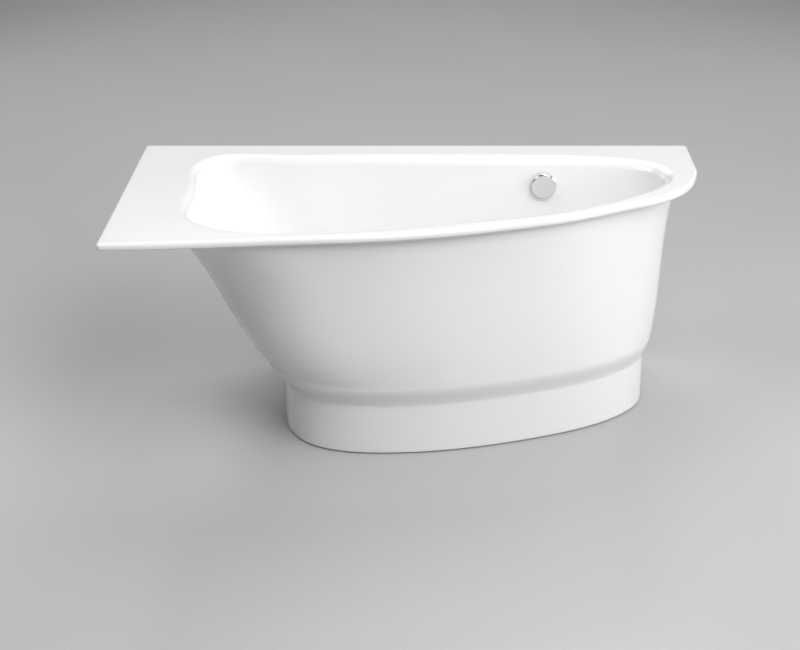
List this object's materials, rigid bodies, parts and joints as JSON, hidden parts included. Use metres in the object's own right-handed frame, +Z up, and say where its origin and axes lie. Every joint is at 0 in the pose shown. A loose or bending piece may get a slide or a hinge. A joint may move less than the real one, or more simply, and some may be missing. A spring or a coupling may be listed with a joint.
{
  "type": "bathtub",
  "caption": "Asymmetric cast-stone corner bathtub: flat deck, curved one-piece skirt on a plinth, round chrome overflow control that lifts the waste plug by a cable, adjustable feet.",
  "frame": {"origin": "bottom centre of the overall box, on the floor under the middle of the deck's length and width", "axes": "+X along the bath from the head end (wide, sloping backrest) to the foot end (narrow, waste), +Y to the wall behind, +Z up"},
  "size_m": [1.5, 0.75, 0.64],
  "materials": {
    "cast_stone": "white gelcoat on cast stone, glossy and even",
    "sealant": "white elastic adhesive, slightly matt",
    "chrome": "polished chrome plate",
    "steel": "fine brushed stainless steel",
    "zinc_steel": "zinc plated steel",
    "brass": "machined brass",
    "rubber": "black moulded rubber",
    "white_plastic": "white moulded plastic",
    "grey_plastic": "grey moulded plastic",
    "hose_plastic": "pale grey corrugated plastic",
    "cable_sleeve": "black plastic cable sleeve",
    "grey_pipe": "grey drain pipe plastic",
    "pad_plastic": "black moulded plastic pad"
  },
  "bodies": {
    "bath": {"basin_shell": "cast_stone", "outer_skirt": "cast_stone", "skirt_bond": "sealant", "foot_inserts": "brass", "foot_locknuts": "zinc_steel", "overflow_plate": "steel", "overflow_screws": "steel", "overflow_seal": "rubber", "overflow_housing": "white_plastic", "overflow_hose": "hose_plastic", "hose_nuts": "white_plastic", "inlet_elbow": "white_plastic", "drive_cable": "cable_sleeve", "cable_glands": "brass", "cable_clips": "grey_plastic", "waste_flange": "chrome", "flange_seal": "rubber", "waste_seal": "rubber", "waste_body": "white_plastic", "lever_pin": "steel", "trap_body": "white_plastic", "trap_cup": "white_plastic", "trap_nut": "white_plastic", "outlet_nut": "white_plastic", "outlet_pipe": "grey_pipe"},
    "overflow_knob": {"overflow_knob": "chrome", "knob_spindle": "steel", "wire_drum": "grey_plastic"},
    "waste_plug": {"waste_plug": "chrome", "plug_seal": "rubber"},
    "lifter_lever": {"lifter_lever": "brass"},
    "foot_1": {"foot_stud_1": "zinc_steel", "foot_pad_1": "pad_plastic"},
    "foot_2": {"foot_stud_2": "zinc_steel", "foot_pad_2": "pad_plastic"},
    "foot_3": {"foot_stud_3": "zinc_steel", "foot_pad_3": "pad_plastic"},
    "foot_4": {"foot_stud_4": "zinc_steel", "foot_pad_4": "pad_plastic"}
  },
  "joints": [
    {"name": "overflow_knob_turn", "type": "hinge", "parent": "bath", "child": "overflow_knob", "pos_m": [0.348, 0.25201, 0.566], "axis": [0, 0.9946, -0.1036], "range_deg": [0, 90]},
    {"name": "lifter_lever_turn", "type": "hinge", "parent": "bath", "child": "lifter_lever", "pos_m": [0.38, 0.05003, 0.138], "axis": [0, 1, 0], "range_deg": [0, 19]},
    {"name": "waste_plug_lift", "type": "slide", "parent": "bath", "child": "waste_plug", "axis": [0, 0, 1], "range_m": [0, 0.01]},
    {"name": "foot_1_adjust", "type": "slide", "parent": "bath", "child": "foot_1", "axis": [0, 0, 1], "range_m": [-0.012, 0.008]},
    {"name": "foot_2_adjust", "type": "slide", "parent": "bath", "child": "foot_2", "axis": [0, 0, 1], "range_m": [-0.012, 0.008]},
    {"name": "foot_3_adjust", "type": "slide", "parent": "bath", "child": "foot_3", "axis": [0, 0, 1], "range_m": [-0.012, 0.008]},
    {"name": "foot_4_adjust", "type": "slide", "parent": "bath", "child": "foot_4", "axis": [0, 0, 1], "range_m": [-0.012, 0.008]}
  ],
  "couplings": [
    {"joint": "lifter_lever_turn", "follows": "overflow_knob_turn", "ratio": 0.2111},
    {"joint": "waste_plug_lift", "follows": "overflow_knob_turn", "m_per_rad": 0.006366}
  ]
}
